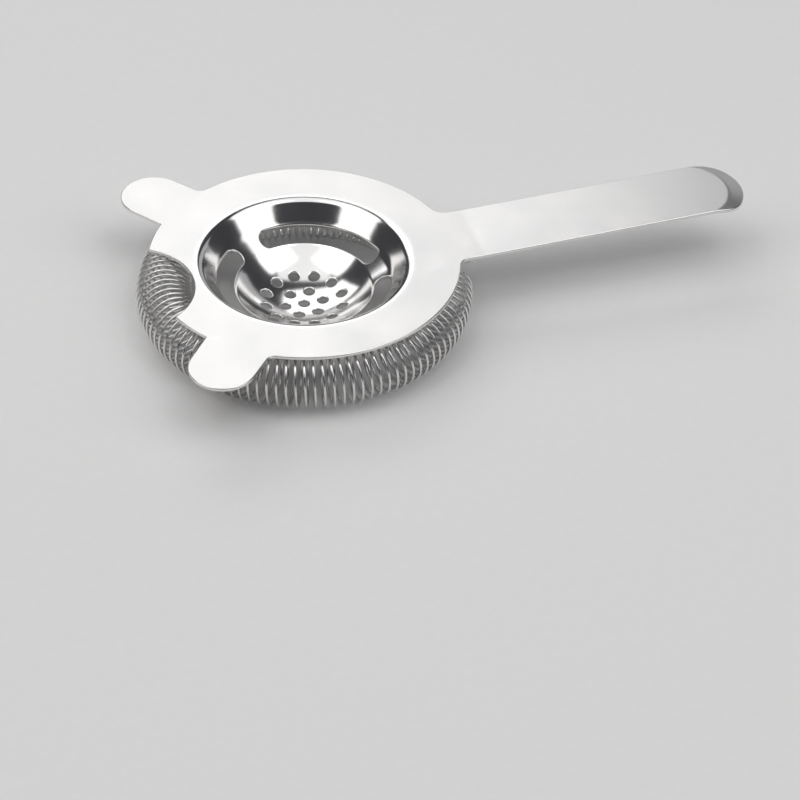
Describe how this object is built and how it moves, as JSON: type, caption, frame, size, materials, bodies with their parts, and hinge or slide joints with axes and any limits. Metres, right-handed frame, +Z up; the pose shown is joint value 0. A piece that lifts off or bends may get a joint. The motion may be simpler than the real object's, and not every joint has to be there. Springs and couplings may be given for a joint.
{
  "type": "hawthorne strainer",
  "caption": "Flat steel cocktail strainer with two ears, a long handle, a slotted and perforated centre bowl and a coil spring under its disc.",
  "frame": {"origin": "on the bowl's axis, in the plane of the disc's underside, which is the plane of the shaker tin's mouth", "axes": "+X along the handle from the bowl to the tip, +Z up out of the tin, +Y to complete a right-handed frame"},
  "size_m": [0.1654, 0.0924, 0.0203],
  "materials": {
    "satin_sheet": "satin stainless sheet, tumbled edges, bowl polished to a mirror",
    "spring_wire": "bright drawn stainless wire",
    "saddle_strip": "plain pressed stainless strip"
  },
  "bodies": {
    "plate": {"strainer_plate": "satin_sheet", "outer_tail_saddle": "saddle_strip", "inner_tail_saddle": "saddle_strip"},
    "spring": {"coil_spring_1": "spring_wire", "coil_spring_2": "spring_wire", "coil_spring_3": "spring_wire", "coil_spring_4": "spring_wire", "coil_spring_5": "spring_wire", "coil_spring_6": "spring_wire", "coil_spring_7": "spring_wire", "coil_spring_8": "spring_wire"}
  },
  "joints": [
    {"name": "spring_give", "type": "slide", "parent": "plate", "child": "spring", "axis": [1, 0, 0], "range_m": [0, 0.0025], "stiffness_N_per_m": 1500}
  ]
}
